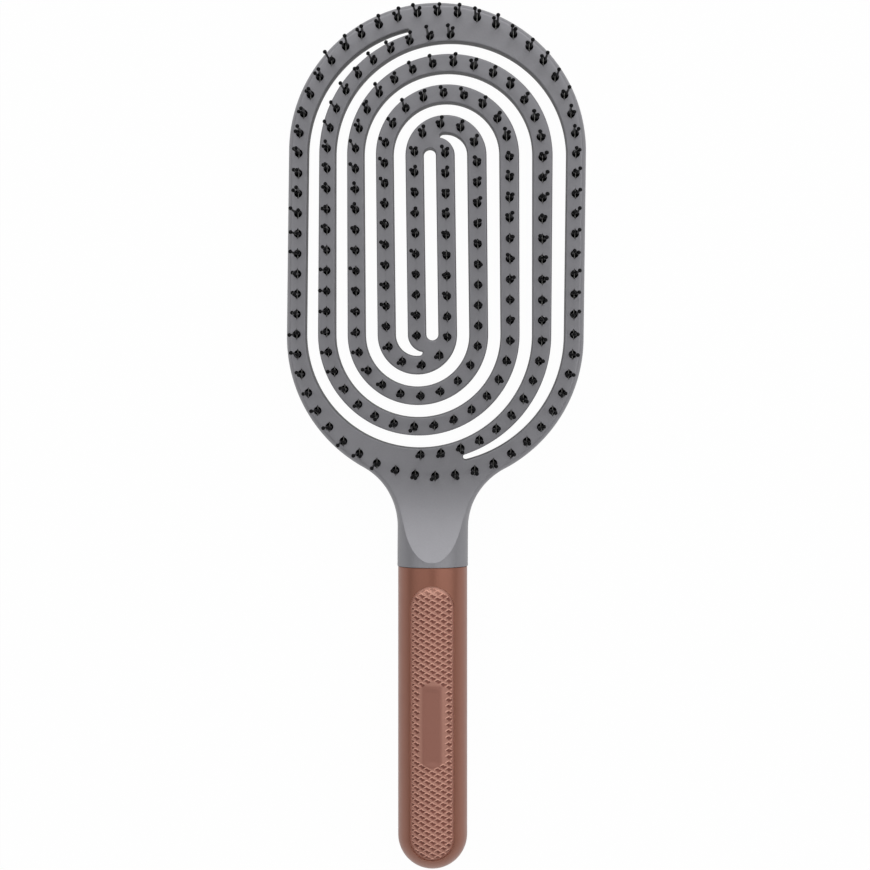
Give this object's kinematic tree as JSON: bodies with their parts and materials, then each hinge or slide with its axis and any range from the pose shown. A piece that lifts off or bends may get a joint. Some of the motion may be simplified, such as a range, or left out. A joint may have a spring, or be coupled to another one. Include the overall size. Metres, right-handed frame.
{
  "type": "pin brush",
  "caption": "Paddle hair brush with a sprung head of spiral slots, ball-ended pins in pairs, a round capped handle and a sunk grip panel.",
  "frame": {"origin": "middle of the brush in length and width, at the height of the lowest point of the handle and neck as it lies on its back", "axes": "+X across the head, +Y along the brush from the round end of the handle to the tip of the head, +Z out through the pins"},
  "size_m": [0.0848, 0.2456, 0.0288],
  "materials": {
    "gunmetal_plastic": "satin gunmetal grey",
    "black_nylon": "smooth black",
    "copper_lacquer": "satin copper lacquer",
    "copper_grip": "satin copper, textured"
  },
  "bodies": {
    "root": {"head_frame": "gunmetal_plastic", "rim_tufts": "black_nylon", "first_arm_tufts": "black_nylon", "second_arm_tufts": "black_nylon", "handle_shell": "copper_lacquer", "grip_panel": "copper_grip"}
  },
  "joints": []
}
